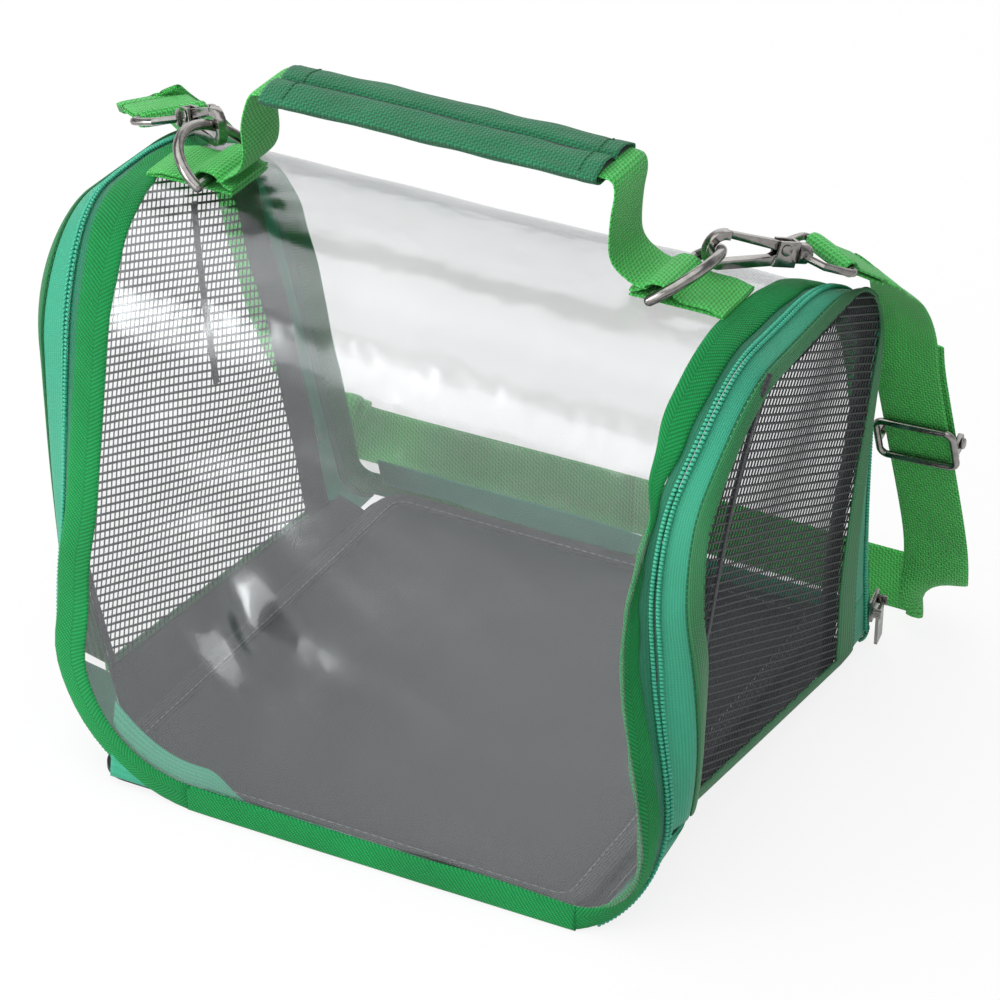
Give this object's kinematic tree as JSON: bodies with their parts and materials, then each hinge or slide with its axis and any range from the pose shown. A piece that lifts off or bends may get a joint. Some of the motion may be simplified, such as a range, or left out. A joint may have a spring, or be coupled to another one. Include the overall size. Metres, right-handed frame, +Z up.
{
  "type": "bird travel carrier",
  "caption": "Small see-through travel carrier for a pet bird, with zipped mesh end doors, a padded carrying handle and a clip-on shoulder strap.",
  "frame": {"origin": "on the floor under the middle of the cover, half way between the two arch bindings", "axes": "+X to the right end, +Y to the back, +Z up"},
  "size_m": [0.3036, 0.2506, 0.2447],
  "materials": {
    "clear_sheet": "gloss",
    "green_binding": "woven herringbone",
    "mint_tape": "smooth",
    "zip_coil": "satin",
    "coated_fabric": "coated, slightly shiny",
    "floor_tape": "woven",
    "board": "matte",
    "mesh": "open mesh",
    "door_trim": "ribbed",
    "grey_lining": "woven",
    "webbing": "woven",
    "grip_weave": "woven",
    "foam": "matte",
    "nickel": "polished"
  },
  "bodies": {
    "carrier": {"clear_cover": "clear_sheet", "left_arch_binding": "green_binding", "right_arch_binding": "green_binding", "front_hem_binding": "green_binding", "back_hem_binding": "green_binding", "front_seam_tape": "mint_tape", "back_seam_tape": "mint_tape", "left_body_zip_tape": "mint_tape", "right_body_zip_tape": "mint_tape", "left_body_zip_coil": "zip_coil", "right_body_zip_coil": "zip_coil", "base_fabric": "coated_fabric", "left_side_flap": "coated_fabric", "right_side_flap": "coated_fabric", "base_board": "board", "floor_pad": "coated_fabric", "floor_edge_tape": "floor_tape", "left_ridge_webbing": "webbing", "right_ridge_webbing": "webbing", "left_strap_run": "webbing", "back_strap_run": "webbing", "right_strap_run": "webbing", "strap_adjust_layer": "webbing"},
    "left_door": {"left_door_mesh": "mesh", "left_door_binding": "door_trim", "left_door_zip_tape": "mint_tape", "left_door_zip_coil": "zip_coil", "left_door_lining": "grey_lining"},
    "left_slider": {"left_zip_slider": "nickel"},
    "left_pull": {"left_zip_pull": "nickel"},
    "left_clip": {"left_ring": "nickel", "left_swivel_loop": "nickel", "left_strap_end": "webbing"},
    "left_hook": {"left_hook": "nickel", "left_gate_rivet": "nickel"},
    "left_gate": {"left_hook_gate": "nickel"},
    "right_door": {"right_door_mesh": "mesh", "right_door_binding": "door_trim", "right_door_zip_tape": "mint_tape", "right_door_zip_coil": "zip_coil", "right_door_lining": "grey_lining"},
    "right_slider": {"right_zip_slider": "nickel"},
    "right_pull": {"right_zip_pull": "nickel"},
    "right_clip": {"right_ring": "nickel", "right_swivel_loop": "nickel", "right_strap_end": "webbing"},
    "right_hook": {"right_hook": "nickel", "right_gate_rivet": "nickel"},
    "right_gate": {"right_hook_gate": "nickel"},
    "handle": {"handle_webbing": "webbing", "grip_sleeve": "grip_weave", "grip_padding": "foam"},
    "adjuster": {"adjuster_frame": "nickel", "adjuster_bar": "nickel"}
  },
  "joints": [
    {"name": "right_door_swing", "type": "hinge", "parent": "carrier", "child": "right_door", "pos_m": [0.11, 0.087, 0.006], "axis": [-0.031, 0.9854, -0.1673], "range_deg": [0, 80]},
    {"name": "right_zip_slide", "type": "slide", "parent": "carrier", "child": "right_slider", "axis": [0.0846, -0.2424, 0.9665], "range_m": [0, 0.05]},
    {"name": "right_pull_swing", "type": "hinge", "parent": "right_slider", "child": "right_pull", "pos_m": [0.11711, 0.09619, 0.02163], "axis": [0.073, -0.9658, -0.2486], "range_deg": [0, 120]},
    {"name": "right_clip_lift", "type": "hinge", "parent": "carrier", "child": "right_clip", "pos_m": [0.084, -0.03, 0.2051], "axis": [0, -1, 0], "range_deg": [0, 40]},
    {"name": "right_hook_swivel", "type": "hinge", "parent": "right_clip", "child": "right_hook", "pos_m": [0.0943, -0.01727, 0.21258], "axis": [0.554, 0.7912, -0.2588], "range_deg": [-5, 5]},
    {"name": "right_gate_press", "type": "hinge", "parent": "right_hook", "child": "right_gate", "pos_m": [0.10838, 0.00285, 0.20766], "axis": [0.8192, -0.5736, 0], "range_deg": [0, 13], "stiffness_Nm_per_rad": 0.02, "springref_deg": -5.73},
    {"name": "left_door_swing", "type": "hinge", "parent": "carrier", "child": "left_door", "pos_m": [-0.11, 0.087, 0.006], "axis": [-0.0196, -0.9977, 0.0652], "range_deg": [0, 80]},
    {"name": "left_zip_slide", "type": "slide", "parent": "carrier", "child": "left_slider", "axis": [-0.0807, -0.2425, 0.9668], "range_m": [0, 0.05]},
    {"name": "left_pull_swing", "type": "hinge", "parent": "left_slider", "child": "left_pull", "pos_m": [-0.11708, 0.09616, 0.02164], "axis": [0.0672, 0.9664, 0.248], "range_deg": [0, 120]},
    {"name": "left_clip_lift", "type": "hinge", "parent": "carrier", "child": "left_clip", "pos_m": [-0.084, -0.03, 0.2051], "axis": [0, 1, 0], "range_deg": [0, 40]},
    {"name": "left_hook_swivel", "type": "hinge", "parent": "left_clip", "child": "left_hook", "pos_m": [-0.0943, -0.01727, 0.21258], "axis": [0.7494, -0.5855, 0.309], "range_deg": [-5, 5]},
    {"name": "left_gate_press", "type": "hinge", "parent": "left_hook", "child": "left_gate", "pos_m": [-0.11342, -0.00233, 0.20638], "axis": [0.6157, 0.788, 0], "range_deg": [0, 13], "stiffness_Nm_per_rad": 0.02, "springref_deg": -5.73},
    {"name": "handle_fold", "type": "hinge", "parent": "carrier", "child": "handle", "pos_m": [0, -0.03, 0.2173], "axis": [1, 0, 0], "range_deg": [-80, 80]},
    {"name": "adjuster_slide", "type": "slide", "parent": "carrier", "child": "adjuster", "axis": [-0.0724, -0.3123, 0.9472], "range_m": [-0.015, 0.008]}
  ]
}
